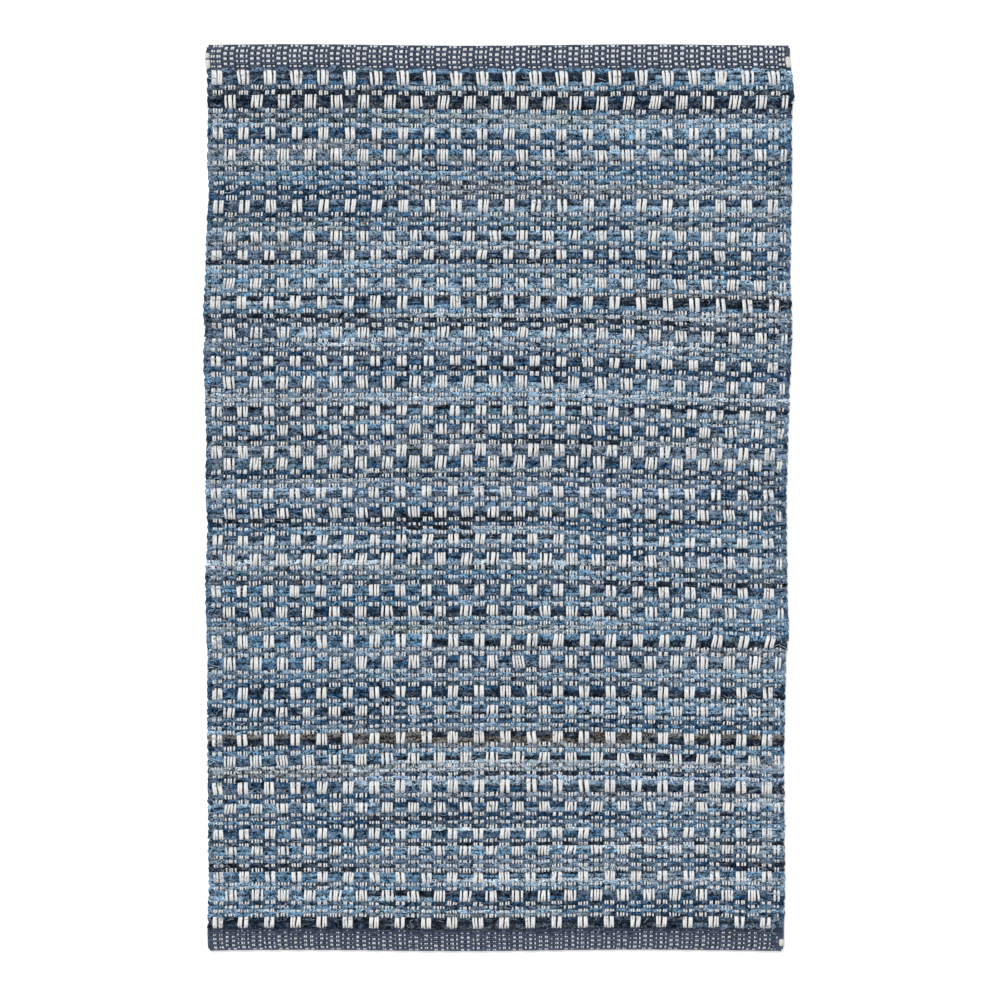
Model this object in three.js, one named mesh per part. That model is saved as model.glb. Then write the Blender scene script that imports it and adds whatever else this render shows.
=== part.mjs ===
// A handwoven cotton rug, lying flat on the surface.
//
// Units are millimetres. The origin is on the surface under the middle of the rug, +X runs along
// the weft, +Y along the warp and +Z up. The rug is one cloth and so one closed solid: a thick body
// of rag weft between two thin headings of plain cotton weft, which are turned under as hems.
// Every weft row is a rib across the top. The underside is flat where it lies on the surface.
//
// The rug is a loft. A section across the weft is a ring of points, and the sections follow each
// other down the warp: one in the valley and one on the crest of every row.

import * as THREE from "three";

// Driving dimensions
const LENGTH = 927;
const BODY_THICKNESS = 6.6;
const HEM_THICKNESS = 4.2;
const TOP_HEADING = 26.5;
const TOP_HEADING_ROWS = 10;
const BOTTOM_HEADING_ROWS = 11;
const CORNER_RADIUS = 5;
const END_THICKNESS = 2.3;

// The round side of a selvedge, from the surface up: how far in from the edge each point lies, and
// how high, as a share of the thickness there
const ROUND_SIDE = [
  { inward: 2.6, share: 0 },
  { inward: 0, share: 0.45 },
  { inward: 2.6, share: 0.88 },
];

// How far a valley lies under the crest beside it
const TALL_ROW_RELIEF = 1.4;
const SHORT_ROW_RELIEF = 1.0;
const HEADING_RELIEF = 0.4;

// Unevenness of handwork. A row isn't beaten quite straight: it sags towards each selvedge, the
// most at one place down the rug.
const SAGS = [
  { side: 1, drop: 7.5, down: 315, spread: 105 },
  { side: 1, drop: 3, down: 500, spread: 90 },
  { side: -1, drop: 3.5, down: 705, spread: 150 },
];
const TALL_TURN_BULGE = 0.9;
const SHORT_TURN_BULGE = 0.45;
const VALLEY_TURN_SHARE = 0.4;

// Lumps where a rag is thicker: their height, and how their phase moves across and from row to row
const LUMPS = { height: 0.35, across: 7.3, shift: 2.1, row: 3.7 };

// The gentle wave of the two ends
const END_WAVE = { height: 0.8, across: 5.2, start: 0.6 };

// The body, from the top heading down. Each band is one tall row, beaten over several rags, and
// the short rows of a single rag that follow it before the next tall one. Lengths along the warp.
const BANDS = [
  { tall: 15, short: 10, rows: 2 },
  { tall: 14, short: 19, rows: 4 },
  { tall: 12, short: 10, rows: 2 },
  { tall: 12.5, short: 39, rows: 8 },
  { tall: 13.5, short: 18.5, rows: 4 },
  { tall: 11, short: 8.5, rows: 2 },
  { tall: 10, short: 18.5, rows: 4 },
  { tall: 11, short: 7.5, rows: 2 },
  { tall: 13.5, short: 18.5, rows: 4 },
  { tall: 11.5, short: 18, rows: 4 },
  { tall: 10.5, short: 10, rows: 2 },
  { tall: 13, short: 17.5, rows: 4 },
  { tall: 10.5, short: 8, rows: 2 },
  { tall: 11, short: 10, rows: 2 },
  { tall: 12, short: 0, rows: 0 },
  { tall: 12.5, short: 18.5, rows: 4 },
  { tall: 11, short: 10, rows: 2 },
  { tall: 11, short: 17, rows: 4 },
  { tall: 10.5, short: 8.5, rows: 2 },
  { tall: 13, short: 19.5, rows: 4 },
  { tall: 12, short: 10, rows: 2 },
  { tall: 11, short: 17.5, rows: 4 },
  { tall: 13.5, short: 8.5, rows: 2 },
  { tall: 13.5, short: 17.5, rows: 4 },
  { tall: 12, short: 8, rows: 2 },
  { tall: 9.5, short: 17, rows: 4 },
  { tall: 12, short: 9.5, rows: 2 },
  { tall: 11.5, short: 16.5, rows: 4 },
  { tall: 13.5, short: 9.5, rows: 2 },
  { tall: 10.5, short: 16, rows: 4 },
  { tall: 11.5, short: 7, rows: 2 },
  { tall: 9.5, short: 17.5, rows: 4 },
  { tall: 11, short: 7.5, rows: 2 },
  { tall: 12, short: 15.5, rows: 4 },
  { tall: 11, short: 0, rows: 0 },
];

// The two selvedges: how far each lies from the middle line, at places down from the top end
const SELVEDGES = [
  { down: 0, left: 299, right: 299 },
  { down: 12, left: 300.5, right: 298.5 },
  { down: 37, left: 298.5, right: 301.5 },
  { down: 50, left: 298.5, right: 302.7 },
  { down: 74, left: 298, right: 300.5 },
  { down: 122, left: 298.5, right: 300.5 },
  { down: 147, left: 297, right: 300.5 },
  { down: 196, left: 299.5, right: 299.5 },
  { down: 233, left: 300.5, right: 299 },
  { down: 270, left: 302.7, right: 300.5 },
  { down: 294, left: 301, right: 300.5 },
  { down: 319, left: 302.5, right: 299.5 },
  { down: 356, left: 301, right: 298 },
  { down: 405, left: 299.5, right: 296.5 },
  { down: 454, left: 300.5, right: 295 },
  { down: 491, left: 298.5, right: 295 },
  { down: 552, left: 300.5, right: 296 },
  { down: 601, left: 299.5, right: 297.5 },
  { down: 626, left: 298.5, right: 294.5 },
  { down: 675, left: 298.5, right: 293.5 },
  { down: 736, left: 298, right: 292.5 },
  { down: 810, left: 297.5, right: 293 },
  { down: 859, left: 297, right: 293.5 },
  { down: 908, left: 298.5, right: 292.5 },
  { down: 927, left: 298, right: 292 },
];

// Where a section's points lie: across from one selvedge (-1) to the other (1)
const COLUMNS = [-0.9, -0.45, 0, 0.45, 0.9];

// Weft rows, from the top end down: where each starts and ends, and how it stands. The bottom
// heading takes up what the bands leave of the length.
function weftRows() {
  const rows = [];
  let down = 0;
  const addRows = (count, length, relief, thickness, turn) => {
    for (let i = 0; i < count; i += 1) {
      const from = down;
      down += length / count;
      rows.push({ from, to: down, relief, thickness, turn });
    }
  };
  addRows(TOP_HEADING_ROWS, TOP_HEADING, HEADING_RELIEF, HEM_THICKNESS, 0);
  for (const band of BANDS) {
    addRows(1, band.tall, TALL_ROW_RELIEF, BODY_THICKNESS, TALL_TURN_BULGE);
    addRows(band.rows, band.short, SHORT_ROW_RELIEF, BODY_THICKNESS, SHORT_TURN_BULGE);
  }
  addRows(BOTTOM_HEADING_ROWS, LENGTH - down, HEADING_RELIEF, HEM_THICKNESS, 0);
  return rows;
}

function smoothstep(value) {
  const t = THREE.MathUtils.clamp(value, 0, 1);
  return t * t * (3 - 2 * t);
}

// Distance from the middle line to a selvedge, between the rows of the table
function selvedge(side, down) {
  let i = 0;
  while (i < SELVEDGES.length - 2 && SELVEDGES[i + 1].down < down) {
    i += 1;
  }
  const above = SELVEDGES[i];
  const below = SELVEDGES[i + 1];
  const t = smoothstep((down - above.down) / (below.down - above.down));
  return THREE.MathUtils.lerp(above[side], below[side], t);
}

// How much a rounded corner takes off each side at this distance from an end
function cornerCut(down) {
  const fromEnd = Math.min(down, LENGTH - down);
  if (fromEnd >= CORNER_RADIUS) {
    return 0;
  }
  const rise = CORNER_RADIUS - fromEnd;
  return CORNER_RADIUS - Math.sqrt(CORNER_RADIUS ** 2 - rise ** 2);
}

// How far down the warp a place across a row lies from where the row is on the middle line. The
// two ends wave a little too.
function rowShift(across, down) {
  let shift = 0;
  for (const sag of SAGS) {
    const away = (down - sag.down) / sag.spread;
    shift += sag.drop * Math.exp(-away * away) * smoothstep(sag.side * across);
  }
  const nearEnd = 1 - Math.sin((Math.PI * down) / LENGTH);
  return shift + END_WAVE.height * Math.cos(END_WAVE.across * across + END_WAVE.start) * nearEnd;
}

function lump(across, row) {
  const phase = LUMPS.across * across + LUMPS.shift * row;
  return LUMPS.height * Math.sin(phase) * Math.cos(LUMPS.row * row);
}

// A ring of points across the weft, from the underside's left up over the top to its right
function section(down, height, index, turn) {
  const narrower = cornerCut(down) + TALL_TURN_BULGE - turn;
  const left = selvedge("left", down) - narrower;
  const right = selvedge("right", down) - narrower;
  const ring = [];
  const add = (x, z) => {
    const half = x < 0 ? left : right;
    ring.push(new THREE.Vector3(x, LENGTH / 2 - down - rowShift(x / half, down), z));
  };
  for (const side of ROUND_SIDE) {
    add(side.inward - left, side.share * height);
  }
  for (const across of COLUMNS) {
    add(across * (across < 0 ? left : right), height + lump(across, index));
  }
  for (const side of ROUND_SIDE.toReversed()) {
    add(right - side.inward, side.share * height);
  }
  return ring;
}

// All the sections: the rounded end, then a valley and a crest for each row, and the other end
function sections() {
  const rows = weftRows();
  const rings = [section(0, END_THICKNESS, 0, 0)];
  rows.forEach((row, index) => {
    if (index > 0) {
      const above = rows[index - 1];
      const lower = Math.min(above.thickness, row.thickness);
      const relief = Math.min(above.relief, row.relief);
      const turn = Math.min(above.turn, row.turn) * VALLEY_TURN_SHARE;
      rings.push(section(row.from, lower - relief, index, turn));
    }
    rings.push(section((row.from + row.to) / 2, row.thickness, index, row.turn));
  });
  rings.push(section(LENGTH, END_THICKNESS, rows.length, 0));
  return rings;
}

// Sections joined side by side, with a fan over each end
function loft(rings) {
  const points = rings[0].length;
  const positions = rings.flat().flatMap((point) => [point.x, point.y, point.z]);
  const triangles = [];
  for (let i = 0; i < rings.length - 1; i += 1) {
    for (let k = 0; k < points; k += 1) {
      const next = (k + 1) % points;
      const a = i * points + k;
      const b = i * points + next;
      const c = (i + 1) * points + next;
      const d = (i + 1) * points + k;
      triangles.push(a, d, c, a, c, b);
    }
  }
  const last = (rings.length - 1) * points;
  for (let k = 1; k < points - 1; k += 1) {
    triangles.push(0, k, k + 1);
    triangles.push(last, last + k + 1, last + k);
  }
  const geometry = new THREE.BufferGeometry();
  geometry.setAttribute("position", new THREE.Float32BufferAttribute(positions, 3));
  geometry.setIndex(triangles);
  geometry.computeVertexNormals();
  return geometry;
}

const cloth = new THREE.MeshStandardMaterial({
  color: 0x6f88a3,
  roughness: 0.95,
  metalness: 0,
});

const rug = new THREE.Mesh(loft(sections()), cloth);
rug.name = "rug";

const group = new THREE.Group();
group.name = "handwoven_cotton_rug";
group.add(rug);

export default group;
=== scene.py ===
"""A handwoven cotton rug, lying flat and seen from straight above.

White cotton warps float over a weft of denim rags in small checks, thin dark binding warps tie the
rags down between the floats, and each end is a plain heading in slate cotton, turned under as a
hem. Every yarn is swept along its own path through the weave.

Lengths are in millimetres until a mesh is made, and "down" is the distance along the warp from the
top end of the rug.
"""

import logging
import math
from collections.abc import Iterator, Sequence
from dataclasses import dataclass, field
from enum import Enum
from typing import Any

import bmesh
import bpy
import numpy as np
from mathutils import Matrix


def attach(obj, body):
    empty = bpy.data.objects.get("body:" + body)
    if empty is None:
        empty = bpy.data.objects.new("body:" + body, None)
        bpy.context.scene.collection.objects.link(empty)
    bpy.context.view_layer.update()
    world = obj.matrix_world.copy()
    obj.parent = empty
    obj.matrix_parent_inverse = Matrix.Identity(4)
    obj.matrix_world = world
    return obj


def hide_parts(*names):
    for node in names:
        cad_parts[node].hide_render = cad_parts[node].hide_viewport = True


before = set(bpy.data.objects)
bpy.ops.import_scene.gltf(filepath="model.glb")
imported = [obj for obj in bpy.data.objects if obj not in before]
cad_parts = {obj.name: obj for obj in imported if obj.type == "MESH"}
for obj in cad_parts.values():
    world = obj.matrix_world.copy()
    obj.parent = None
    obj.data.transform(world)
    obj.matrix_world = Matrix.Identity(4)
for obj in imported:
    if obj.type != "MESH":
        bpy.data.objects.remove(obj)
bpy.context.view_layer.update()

MM = 0.001
BODY = "root"
NODE = "rug"
SEED = 41
LOG = logging.getLogger("rug")

Colour = tuple[float, float, float]
Socket = bpy.types.NodeSocket
Piece = bpy.types.Object


class Shade(Enum):
    """Colours of the rags, as they look in daylight."""

    INK = "#0c1d31"
    CHARCOAL = "#2b313b"
    NAVY = "#1f466a"
    INDIGO = "#3a6083"
    DENIM = "#5580a6"
    BLUE = "#507da6"
    SKY = "#88aed1"
    PALE = "#c6e4ff"
    BRIGHT = "#9dc0f2"
    SLATE = "#4a617c"
    STEEL = "#6b85a2"
    GREY = "#7f8ea1"
    MIST = "#acc0d6"
    SAGE = "#93a7b3"
    MOSS = "#486276"
    BROWN = "#59534b"
    TEAL = "#4a6d86"


class Shed(Enum):
    """Which white warps are up in a weft row."""

    NARROW_UP = "narrow"
    WIDE_UP = "wide"


class Side(Enum):
    """A selvedge of the rug."""

    LEFT = "left"
    RIGHT = "right"


def linear(code: str) -> Colour:
    """Turn a display colour into scene-linear light.

    Args:
        code: The colour as a hash sign and six hexadecimal digits.

    Returns:
        Red, green and blue from 0 to 1.
    """
    parts = (int(code[i : i + 2], 16) / 255 for i in (1, 3, 5))
    return tuple(p / 12.92 if p <= 0.04045 else ((p + 0.055) / 1.055) ** 2.4 for p in parts)


def blend_of(name: str) -> np.ndarray:
    """Give the colour of a rag.

    Args:
        name: A shade, or two joined by a hyphen for rags torn from both.

    Returns:
        The linear colour.
    """
    return np.mean([linear(Shade[part.upper()].value) for part in name.split("-")], axis=0)


@dataclass(frozen=True)
class Row:
    """Rag colours of one weft row at its left, middle and right.

    Each is the row's picks from the top one down. A slash is a join in the rag, and a dot marks a
    thin pick.
    """

    left: str
    middle: str
    right: str

    def colours(self, place: str, pick: int, picks: int) -> list[np.ndarray]:
        """Give the colours of one pick in one third of the row.

        Args:
            place: The field that holds that third's colours.
            pick: The pick's number from the top.
            picks: How many picks the row has.

        Returns:
            One colour, or two where the rag is joined there.
        """
        entries = getattr(self, place).split()
        entry = entries[min(len(entries) - 1, pick * len(entries) // picks)]
        return [blend_of(name) for name in entry.strip(".").split("/")]

    def shares(self, tall: bool) -> list[float]:
        """Give the share of the row's height that each pick takes up."""
        entries = self.middle.split()
        if tall and len(entries) == 1:
            return [0.5, 0.5]
        weights = [0.45 if entry.startswith(".") else 1.0 for entry in entries]
        return [weight / sum(weights) for weight in weights]


# The rags listed from the top of the rug down, with a line for each row. A line with one part has
# it all across.
CHART = """
slate navy | denim ink teal | sky denim
slate | sky | denim
ink
ink ink | ink charcoal | navy-ink ink
slate | denim | slate-ink
grey/moss | sage | slate
moss | moss/sage | sky
sky
navy navy | sky navy | sky denim
navy/grey | steel | steel/denim
steel/grey | navy | navy
grey steel | blue grey | sky/blue grey
sage | steel | denim/navy
navy
steel/denim | sky | denim
denim
denim | navy-brown | denim
navy | grey | grey
navy | grey | grey/mist
navy | slate | slate
slate navy | slate sky | navy-slate sky
navy | steel | steel/grey
moss | teal | indigo/teal
teal/denim | teal | teal/navy
steel/sage | navy | sage/steel
sky/blue slate | sky navy-ink | sky denim
grey/sky | sky | denim/sky
steel | mist | slate
slate slate | slate slate .ink | indigo slate
ink/sky | navy | slate
sky | steel | navy
sky | sky | denim
denim | teal | navy
denim sky-grey | denim sky | sky steel
sky/steel | sky | denim/sky
blue | sky | brown-grey
ink mist denim | charcoal navy denim | ink denim
denim | denim | steel/mist
ink | mist | mist
slate-ink | ink | ink/slate
slate
slate/sky | .ink sky | slate-ink steel
steel
steel/pale | sky | pale/sky
steel/slate | steel | steel
navy/slate | navy-slate | sky/denim
slate slate | slate navy | slate navy-ink
navy | ink | navy
denim | indigo | steel/navy
denim slate | navy sky | steel denim
steel | sky | sky/steel
mist/steel | sky | pale
mist | pale/steel | sky/steel
steel | steel/sky | navy-ink
ink slate | .ink teal | ink steel
slate | denim/steel | steel
steel/sky | teal | denim/sky
denim slate | navy-slate grey | navy/steel
navy-ink | navy | slate/teal
moss/slate | grey/ink | mist/navy
grey slate | grey slate | slate steel
slate teal | slate navy | steel/sage navy
navy | sage | steel/navy
navy-ink | navy-ink | navy-ink/slate
steel/mist | steel | steel
steel | grey-slate | slate
bright-sky slate | denim bright slate | bright/navy navy
steel
denim/steel | denim | slate
navy slate | steel ink | slate denim
ink/navy
navy-ink | navy | navy
denim/sky | ink/mist | navy/denim
denim | sky | denim/sky
ink-navy steel | ink sky | teal sky
sky-steel | steel | navy
steel/navy | navy | navy
slate pale | navy steel/pale | steel mist/sky
steel/sage | moss | moss
teal/steel | denim | denim/indigo
slate/teal | blue | sky/steel
moss-ink | slate-ink | ink
denim | slate denim navy | navy slate denim
navy | indigo | steel/denim
denim | sky | denim/sky
navy-ink | navy ink | slate denim
denim | sky | sky
denim/indigo | indigo | sky/denim
sage | sage | indigo
steel | sage | denim
indigo denim | denim ink | denim ink
steel | grey | steel/grey
steel | steel | slate/grey
denim/steel navy | navy slate | steel slate
sky-steel | slate | steel/sky
steel/denim | sky | sky
denim/steel | steel | steel/sky
navy | moss | slate/teal
navy | navy ink | navy ink
denim | sky | sky
denim | blue | denim/sky
navy-ink | blue steel .ink | denim/sky sky navy
denim/steel | sky | sky
navy
denim/steel | sky | navy
sky | steel | denim
brown ink | ink brown | brown ink
navy/slate | brown-grey | denim
denim | sky | sky/denim
denim navy-ink | denim ink pale | ink/steel mist
mist/sage | mist | mist
sage/mist | mist | steel
brown-grey | slate/ink | navy-ink
navy/steel | bright | bright
navy slate | steel-pale navy | steel ink
slate/navy | grey | grey
navy | navy | steel
sky/steel denim | navy steel | steel/mist denim
slate | navy | denim/slate
slate/navy | ink/navy | teal/slate
denim/navy | slate | steel/denim
navy | slate-navy | denim
indigo | .pale indigo | denim steel
slate | slate | slate-navy
slate-ink | ink | slate/ink
denim | sky denim | pale/mist steel
steel | slate | slate
steel/slate | steel | indigo/slate
ink/slate | steel | navy/ink
ink | grey/mist | slate/ink
denim | .ink blue pale | steel/denim mist
sky/steel | sky | steel/sky
sky | blue | blue/sky
denim sky | ink navy | slate navy
navy/slate | ink-navy | navy
denim | slate | navy/indigo
sky | sky | denim/sky
denim/steel | sage-slate | navy-ink
ink | ink charcoal | ink/slate
"""
ROWS = tuple(Row(*(line.split(" | ") * 3)[:3]) for line in CHART.strip().splitlines())


@dataclass(frozen=True)
class Band:
    """One tall row and the short rows that follow it, as lengths along the warp."""

    tall: float
    short: float
    rows: int


BANDS = tuple(
    Band(*sizes)
    for sizes in (
        (15, 10, 2), (14, 19, 4), (12, 10, 2), (12.5, 39, 8), (13.5, 18.5, 4), (11, 8.5, 2),
        (10, 18.5, 4), (11, 7.5, 2), (13.5, 18.5, 4), (11.5, 18, 4), (10.5, 10, 2), (13, 17.5, 4),
        (10.5, 8, 2), (11, 10, 2), (12, 0, 0), (12.5, 18.5, 4), (11, 10, 2), (11, 17, 4),
        (10.5, 8.5, 2), (13, 19.5, 4), (12, 10, 2), (11, 17.5, 4), (13.5, 8.5, 2), (13.5, 17.5, 4),
        (12, 8, 2), (9.5, 17, 4), (12, 9.5, 2), (11.5, 16.5, 4), (13.5, 9.5, 2), (10.5, 16, 4),
        (11.5, 7, 2), (9.5, 17.5, 4), (11, 7.5, 2), (12, 15.5, 4), (11, 0, 0),
    )
)


@dataclass(frozen=True)
class Edge:
    """How far the two selvedges lie from the middle line at one place down the rug."""

    down: float
    left: float
    right: float


EDGES = tuple(
    Edge(*sizes)
    for sizes in (
        (0, 299, 299), (12, 300.5, 298.5), (37, 298.5, 301.5), (50, 298.5, 302.7),
        (74, 298, 300.5), (122, 298.5, 300.5), (147, 297, 300.5), (196, 299.5, 299.5),
        (233, 300.5, 299), (270, 302.7, 300.5), (294, 301, 300.5), (319, 302.5, 299.5),
        (356, 301, 298), (405, 299.5, 296.5), (454, 300.5, 295), (491, 298.5, 295),
        (552, 300.5, 296), (601, 299.5, 297.5), (626, 298.5, 294.5), (675, 298.5, 293.5),
        (736, 298, 292.5), (810, 297.5, 293), (859, 297, 293.5), (908, 298.5, 292.5),
        (927, 298, 292),
    )
)


@dataclass(frozen=True)
class Sag:
    """A stretch where the rows hang lower towards one selvedge."""

    side: int
    drop: float
    down: float
    spread: float


SAGS = tuple(
    Sag(*sizes)
    for sizes in (
        (1, 7.5, 315, 105), (1, 3, 500, 90), (-1, 3.5, 705, 150), (1, 2.5, 700, 60),
        (-1, 2.5, 440, 80), (-1, 1.3, 200, 130), (1, -1.3, 250, 45), (1, 2.2, 535, 80),
        (1, 1.5, 722, 50), (-1, 1.2, 722, 40), (1, -1.0, 850, 40), (-1, -1.0, 850, 40),
    )
)


@dataclass(frozen=True)
class Sway:
    """A stretch where the warp strays to one side, and the rows may sink.

    The place across and its reach are shares of the rug's half width.
    """

    shift: float
    across: float
    reach: float
    down: float
    spread: float
    sink: float = 0.0

    def fade(self, share: float, down: float) -> float:
        """Give how much of the stray there is at a place, from 0 to 1."""
        beside = (share - self.across) / self.reach
        away = (down - self.down) / self.spread
        return math.exp(-beside * beside - away * away)


SWAYS = (
    Sway(1.7, 0.2, 1.3, 460, 2000),
    Sway(1.9, -0.6, 1.0, 290, 75),
    Sway(1.5, 0.8, 0.45, 730, 110),
    Sway(-1.3, 0.15, 0.5, 600, 40),
    Sway(-1.7, 0.0, 0.45, 850, 55),
    Sway(-1.1, -1.0, 0.4, 710, 60),
    Sway(0.6, 0.1, 2.0, 370, 190),
    Sway(-0.8, 0.4, 0.35, 75, 50, 2.4),
)


def smoothstep(value: float) -> float:
    """Ease from 0 to 1 as the value goes from 0 to 1."""
    t = min(1.0, max(0.0, value))
    return t * t * (3 - 2 * t)


@dataclass(frozen=True)
class Pick:
    """One rag, or one heading yarn, beaten in across the rug."""

    start: float
    end: float
    shed: Shed
    tall: bool = False
    row: int = 0
    number: int = 0
    picks: int = 1

    @property
    def middle(self) -> float:
        """The pick's own line, between its two edges."""
        return (self.start + self.end) / 2

    @property
    def half(self) -> float:
        """Half of the pick's room along the warp."""
        return (self.end - self.start) / 2


@dataclass(frozen=True)
class WeavePlan:
    """The cloth as it is set up on the loom: its sizes, its columns, its rows and its drift."""

    length: float = 927
    body_thickness: float = 6.6
    hem_thickness: float = 4.2
    top_heading: float = 26.5
    top_picks: int = 10
    bottom_picks: int = 11
    hem_picks: int = 9
    hem_short: float = 2.5
    columns: int = 22
    first_column: float = 9.6
    last_column: float = 20.6
    end_wave: float = 0.8
    corner: float = 5.0

    @property
    def body_end(self) -> float:
        """Where the bottom heading starts."""
        return self.top_heading + sum(band.tall + band.short for band in BANDS)

    @property
    def body_middle(self) -> float:
        """Height of the middle of the body above the surface."""
        return self.body_thickness / 2

    @property
    def heading_middle(self) -> float:
        """Height of the middle of a heading's upper layer."""
        return 0.75 * self.hem_thickness

    @property
    def hem_middle(self) -> float:
        """Height of the middle of the layer that is turned under."""
        return 0.25 * self.hem_thickness

    def spans(self) -> Iterator[tuple[float, float, bool]]:
        """Walk down the body's rows.

        Yields:
            Where each row starts and ends, and whether it is a tall one.
        """
        down = self.top_heading
        for band in BANDS:
            yield down, down + band.tall, True
            down += band.tall
            for _ in range(band.rows):
                yield down, down + band.short / band.rows, False
                down += band.short / band.rows

    def body_rows(self) -> list[Pick]:
        """Give the body's rows, with every second one in the other shed."""
        sheds = (Shed.NARROW_UP, Shed.WIDE_UP)
        return [
            Pick(start, end, sheds[index % 2], tall, index)
            for index, (start, end, tall) in enumerate(self.spans())
        ]

    def rag_picks(self) -> list[Pick]:
        """Split the rows into their rags."""
        picks = []
        for row in self.body_rows():
            shares = ROWS[row.row].shares(row.tall)
            start = row.start
            for number, share in enumerate(shares):
                end = start + share * (row.end - row.start)
                picks.append(Pick(start, end, row.shed, row.tall, row.row, number, len(shares)))
                start = end
        return picks

    def heading_picks(self) -> list[Pick]:
        """Give the heading picks of both ends, from the top of the rug down."""
        picks = []
        sheds = (Shed.NARROW_UP, Shed.WIDE_UP)
        size = self.top_heading / self.top_picks
        for index in range(self.top_picks):
            picks.append(Pick(index * size, (index + 1) * size, sheds[index % 2]))
        size = (self.length - self.body_end) / self.bottom_picks
        for index in range(self.bottom_picks):
            start = self.body_end + index * size
            picks.append(Pick(start, start + size, sheds[(index + 1) % 2]))
        return picks

    def edge(self, side: Side, down: float) -> float:
        """Give the distance from the middle line to a selvedge."""
        i = 0
        while i < len(EDGES) - 2 and EDGES[i + 1].down < down:
            i += 1
        above, below = EDGES[i], EDGES[i + 1]
        t = smoothstep((down - above.down) / (below.down - above.down))
        value = getattr(above, side.value) * (1 - t) + getattr(below, side.value) * t
        from_end = max(0.0, min(down, self.length - down))
        if from_end < self.corner:
            rise = self.corner - from_end
            value -= self.corner - math.sqrt(self.corner**2 - rise**2)
        return value

    def pitch(self, down: float) -> float:
        """Give the width of one repeat of the columns at this place down the rug."""
        width = self.edge(Side.LEFT, down) + self.edge(Side.RIGHT, down)
        return (width - self.first_column - self.last_column) / (self.columns - 1)

    def across(self, column: float, offset: float, down: float) -> float:
        """Give the place of a yarn across the rug.

        Args:
            column: The repeat's number, with a half added for its wide column.
            offset: How far the yarn lies from the column's middle.
            down: The place down the rug.

        Returns:
            The distance from the middle line, towards the right.
        """
        start = self.first_column - self.edge(Side.LEFT, down)
        x = start + column * self.pitch(down) + offset
        share = x / self.edge(Side.LEFT if x < 0 else Side.RIGHT, down)
        return x + sum(sway.shift * sway.fade(share, down) for sway in SWAYS)

    def place(self, x: float, down: float) -> float:
        """Give the Y of a point of a row, which sags and waves with the row."""
        side = Side.LEFT if x < 0 else Side.RIGHT
        share = x / self.edge(side, down)
        shift = 0.0
        for sag in SAGS:
            away = (down - sag.down) / sag.spread
            shift += sag.drop * math.exp(-away * away) * smoothstep(sag.side * share)
        shift += sum(sway.sink * sway.fade(share, down) for sway in SWAYS)
        near_end = 1 - math.sin(math.pi * min(max(down, 0), self.length) / self.length)
        wave = self.end_wave * math.cos(5.2 * share + 0.6) * near_end
        return self.length / 2 - down - shift - wave


@dataclass
class Strand:
    """A yarn's path: its points, its half width there, how flat it is, and its colour."""

    points: list[tuple[float, float, float]] = field(default_factory=list)
    girth: list[float] = field(default_factory=list)
    flat: list[float] = field(default_factory=list)
    tint: list[Sequence[float]] = field(default_factory=list)

    def add(
        self, point: tuple[float, float, float], girth: float, flat: float, tint: Sequence[float]
    ) -> None:
        """Add one point to the path.

        Args:
            point: X, Y and Z in millimetres.
            girth: Half of the yarn's width there.
            flat: The yarn's height as a share of its width.
            tint: The yarn's colour there.
        """
        self.points.append(point)
        self.girth.append(girth)
        self.flat.append(flat)
        self.tint.append(tint)

    def lengths(self) -> np.ndarray:
        """Give the distance along the path to each of its points."""
        steps = np.linalg.norm(np.diff(np.array(self.points), axis=0), axis=1)
        return np.concatenate([[0.0], np.cumsum(steps)])


@dataclass
class NodeBench:
    """A node tree that is being built."""

    tree: bpy.types.NodeTree

    def put(self, kind: str, inputs: dict | None = None, **settings: Any) -> bpy.types.Node:
        """Add a node.

        Args:
            kind: The node's type.
            inputs: Values or output sockets for its inputs, by name or number.
            settings: The node's own settings.

        Returns:
            The new node.
        """
        node = self.tree.nodes.new(kind)
        for name, value in settings.items():
            setattr(node, name, value)
        for name, value in (inputs or {}).items():
            if isinstance(value, Socket):
                self.tree.links.new(value, node.inputs[name])
            else:
                node.inputs[name].default_value = value
        return node

    def out(self, kind: str, inputs: dict | None = None, **settings: Any) -> Socket:
        """Add a node, and give its first output."""
        return self.put(kind, inputs, **settings).outputs[0]

    def socket(self, name: str, kind: str, value: Any = None, output: bool = False) -> str:
        """Add a named input or output to the tree, and give its identifier."""
        way = "OUTPUT" if output else "INPUT"
        item = self.tree.interface.new_socket(name, in_out=way, socket_type="NodeSocket" + kind)
        if value is not None:
            item.default_value = value
        return item.identifier

    def math(self, operation: str, *values: Any) -> Socket:
        """Reckon with one to three numbers."""
        return self.out("ShaderNodeMath", dict(enumerate(values)), operation=operation)

    def vector(self, operation: str, *values: Any) -> Socket:
        """Reckon with one to three vectors or colours."""
        return self.out("ShaderNodeVectorMath", dict(enumerate(values)), operation=operation)

    def scaled(self, vector: Socket, by: Any) -> Socket:
        """Make a vector longer, or a colour lighter or darker."""
        return self.out("ShaderNodeVectorMath", {0: vector, 3: by}, operation="SCALE")

    def noise(self, scale: Any, detail: float, **more: Any) -> bpy.types.Node:
        """Add a noise texture."""
        return self.put("ShaderNodeTexNoise", {"Scale": scale, "Detail": detail, **more})

    def ranged(self, value: Socket, low: float, high: float, least: float = 0.0) -> Socket:
        """Map the values from low to high onto those from the least to 1."""
        limits = {"Value": value, "From Min": low, "From Max": high, "To Min": least}
        return self.out("ShaderNodeMapRange", limits)


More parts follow.
